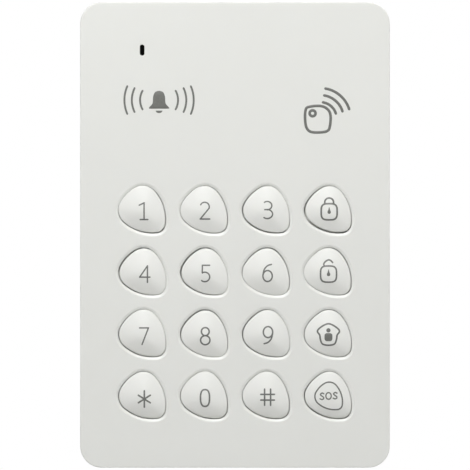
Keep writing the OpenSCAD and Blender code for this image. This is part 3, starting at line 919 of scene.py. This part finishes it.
def build_tag():
    """A tag with radio waves, over the reader's coil."""
    x, y, _ = centre_of("tag_coil")
    tag = smooth([(-5.0, 0.9), (-4.2, 1.75), (-1.0, 1.9), (0.9, 0.35), (0.9, -2.9), (0.0, -4.2),
                  (-3.2, -4.4), (-4.6, -3.6), (-5.1, -1.6)], closed=True)
    hole = ellipse((-3.3, 0.2), 0.72, 0.72, steps=20)[:-1]
    waves = [ellipse((-1.4, -1.0), reach, reach, 18, 80, steps=14) for reach in TAG_WAVES]
    at = (x + TAG_OFFSET[0], y + TAG_OFFSET[1])
    build_mark("tag_mark", at, TAG_STROKE, waves, [tag, hole])


build_bell()
build_tag()


# ---- cells ----

# Ends of an AAA cell: how far along from the end, and how far in from the jacket's radius
FLAT_END = [(0, 1.2), (0.25, 0.5), (0.25, 0.25), (0.5, 0)]
BUTTON_END = [(2.6, 0), (2.1, 0.25), (2.1, 0.9), (1.3, 1.3)]
# Its button: how far back from the tip, and its radius
BUTTON = [(1.3, 2.1), (1.1, 1.9), (0.2, 1.9), (0, 1.7)]
CELL_SIDES = 64


def build_cell(node, way):
    """A cell along x, its button end towards way."""
    low, high = (Vector(corner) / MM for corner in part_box(node))
    _, y, z = centre_of(node)
    radius, length = (high.z - low.z) / 2, high.x - low.x
    start = low.x if way > 0 else high.x
    profile = [(along, radius - inset) for along, inset in FLAT_END]
    profile += [(length - along, radius - inset) for along, inset in BUTTON_END]
    profile += [(length - along, reach) for along, reach in BUTTON]
    body = Solid()
    body.turned([(start + way * along, reach) for along, reach in profile], (y, z), CELL_SIDES)
    cell = body.finish(node + "_cell", "case", jacket, sharp=35, replaces=[node])
    cell.data.materials.append(steel)
    last_of_jacket = len(FLAT_END) + 1
    for index, face in enumerate(cell.data.polygons):
        face.material_index = 0 if 1 <= index // CELL_SIDES <= last_of_jacket else 1


build_cell("battery_upper", 1)
build_cell("battery_lower", -1)


# ---- CAD pieces that keep their shape ----

WELD_REACH = 0.002
BEVEL_STEPS = 3
BEVEL_OVER = math.radians(40)


def dress(node, material, soften=0.0):
    """Gives a CAD node its material and, where wanted, softly broken edges."""
    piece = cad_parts[node]
    for index in range(len(piece.material_slots)):
        piece.material_slots[index].material = material
    if not soften:
        return
    weld = piece.modifiers.new("join faces", "WELD")
    weld.merge_threshold = WELD_REACH * MM
    bevel = piece.modifiers.new("broken edges", "BEVEL")
    bevel.width = soften * MM
    bevel.segments = BEVEL_STEPS
    bevel.limit_method = "ANGLE"
    bevel.angle_limit = BEVEL_OVER
    weighted_normals(piece)


dress("rear_cover", back_plastic, 0.15)
dress("battery_door", back_plastic, 0.15)
dress("wall_bracket", bracket_plastic, 0.2)
dress("status_lens", smoked, 0.08)
dress("tamper_plunger", acetal, 0.2)
dress("rating_label", label_film)
for node in ("case_screws", "board_screws"):
    dress(node, steel, 0.08)
for node in ("battery_springs", "battery_plates", "tamper_spring"):
    dress(node, steel)
for node in ("microcontroller", "reader_chip", "buzzer", "tamper_switch"):
    dress(node, epoxy, 0.06)
for node in ("radio_module", "capacitor", "crystal"):
    dress(node, can_metal, 0.08)
dress("circuit_board", green_board)
dress("contact_pads", gold_flash)
dress("tag_coil", copper_wire, 0.1)
dress("radio_antenna", gold_flash)
dress("status_led", led_resin, 0.08)
dress("key_mat", silicone)
for row in KEYS:
    for name in row:
        dress("plunger_" + name, carbon_rubber, 0.1)


# ---- studio ----

# The light all round: its strength, and its grey straight below and straight above
WORLD_POWER = 0.15
WORLD_BELOW = 0.45
WORLD_ABOVE = 1.2
# In metres: how far under the panel the floor is, the floor's radius, how far off the camera
# stands and how wide a field it sees
FLOOR_DROP = 0.2
FLOOR_R = 1.6
CAMERA_AWAY = 3.0
FIELD = 0.1139


def area_light(name, at, size, power):
    """A soft box aimed at the middle of the panel, with its place and size in metres."""
    lamp = bpy.data.lights.new(name, "AREA")
    lamp.shape = "RECTANGLE"
    lamp.size, lamp.size_y = size
    lamp.energy = power
    light = bpy.data.objects.new(name, lamp)
    light.location = at
    aim = Vector((0, shell_low.y, MID)) - Vector(at)
    light.rotation_euler = aim.to_track_quat("-Z", "Y").to_euler()
    bpy.context.scene.collection.objects.link(light)


def build_world():
    """Plain white to look at, and a dim light on the surfaces that is stronger from above."""
    world = bpy.data.worlds.new("studio")
    world.use_nodes = True
    tree, links = world.node_tree, world.node_tree.links
    tree.nodes.clear()
    out, seen, lit, ray, mix, where, split, ramp, rise = (
        tree.nodes.new("ShaderNode" + kind)
        for kind in ("OutputWorld", "Background", "Background", "LightPath", "MixShader",
                     "TexCoord", "SeparateXYZ", "ValToRGB", "MapRange"))
    seen.inputs["Color"].default_value = (1, 1, 1, 1)
    lit.inputs["Strength"].default_value = WORLD_POWER
    for point, at, grey in zip(ramp.color_ramp.elements, (0, 1), (WORLD_BELOW, WORLD_ABOVE)):
        point.position = at
        point.color = (grey, grey, grey, 1)
    rise.inputs["From Min"].default_value = -1
    links.new(where.outputs["Generated"], split.inputs["Vector"])
    links.new(split.outputs["Z"], rise.inputs["Value"])
    links.new(rise.outputs["Result"], ramp.inputs["Fac"])
    links.new(ramp.outputs["Color"], lit.inputs["Color"])
    links.new(ray.outputs["Is Camera Ray"], mix.inputs["Fac"])
    links.new(lit.outputs["Background"], mix.inputs[1])
    links.new(seen.outputs["Background"], mix.inputs[2])
    links.new(mix.outputs["Shader"], out.inputs["Surface"])
    bpy.context.scene.world = world


def build_floor():
    """A plain pale floor, a little below the panel."""
    bm = bmesh.new()
    bmesh.ops.create_circle(bm, cap_ends=True, segments=96, radius=FLOOR_R)
    mesh = bpy.data.meshes.new("floor")
    bm.to_mesh(mesh)
    bm.free()
    floor = bpy.data.objects.new("floor", mesh)
    floor.location = (0, 0, shell_low.z - FLOOR_DROP)
    nodes = Nodes("floor_paint")
    cloud = nodes.noise(6, 3.0)
    nodes.set(Base_Color=nodes.ramp(cloud, [(0.3, (0.86, 0.86, 0.855)),
                                            (0.7, (0.88, 0.88, 0.875))]))
    nodes.shader.inputs["Roughness"].default_value = 0.75
    mesh.materials.append(nodes.material)
    bpy.context.scene.collection.objects.link(floor)


def build_camera():
    """Square on to the face, from far enough away that nothing shows in perspective."""
    camera = bpy.data.cameras.new("camera")
    camera.sensor_width = 36
    camera.lens = camera.sensor_width * CAMERA_AWAY / FIELD
    camera.clip_end = 20
    viewer = bpy.data.objects.new("camera", camera)
    viewer.location = (0, shell_low.y - CAMERA_AWAY, MID)
    viewer.rotation_euler = (math.pi / 2, 0, 0)
    bpy.context.scene.collection.objects.link(viewer)
    bpy.context.scene.camera = viewer


build_world()
build_floor()
build_camera()
area_light("overhead", (-0.09, -0.44, MID + 0.49), (0.3, 0.2), 4.15)
area_light("left_card", (-0.9, -0.25, MID + 0.45), (0.4, 0.6), 0.6)
area_light("right_card", (0.9, -0.25, MID + 0.3), (0.4, 0.6), 1.8)
area_light("behind", (0.5, 0.75, MID + 0.65), (0.6, 0.5), 9.0)
bpy.context.scene.view_settings.view_transform = "Standard"
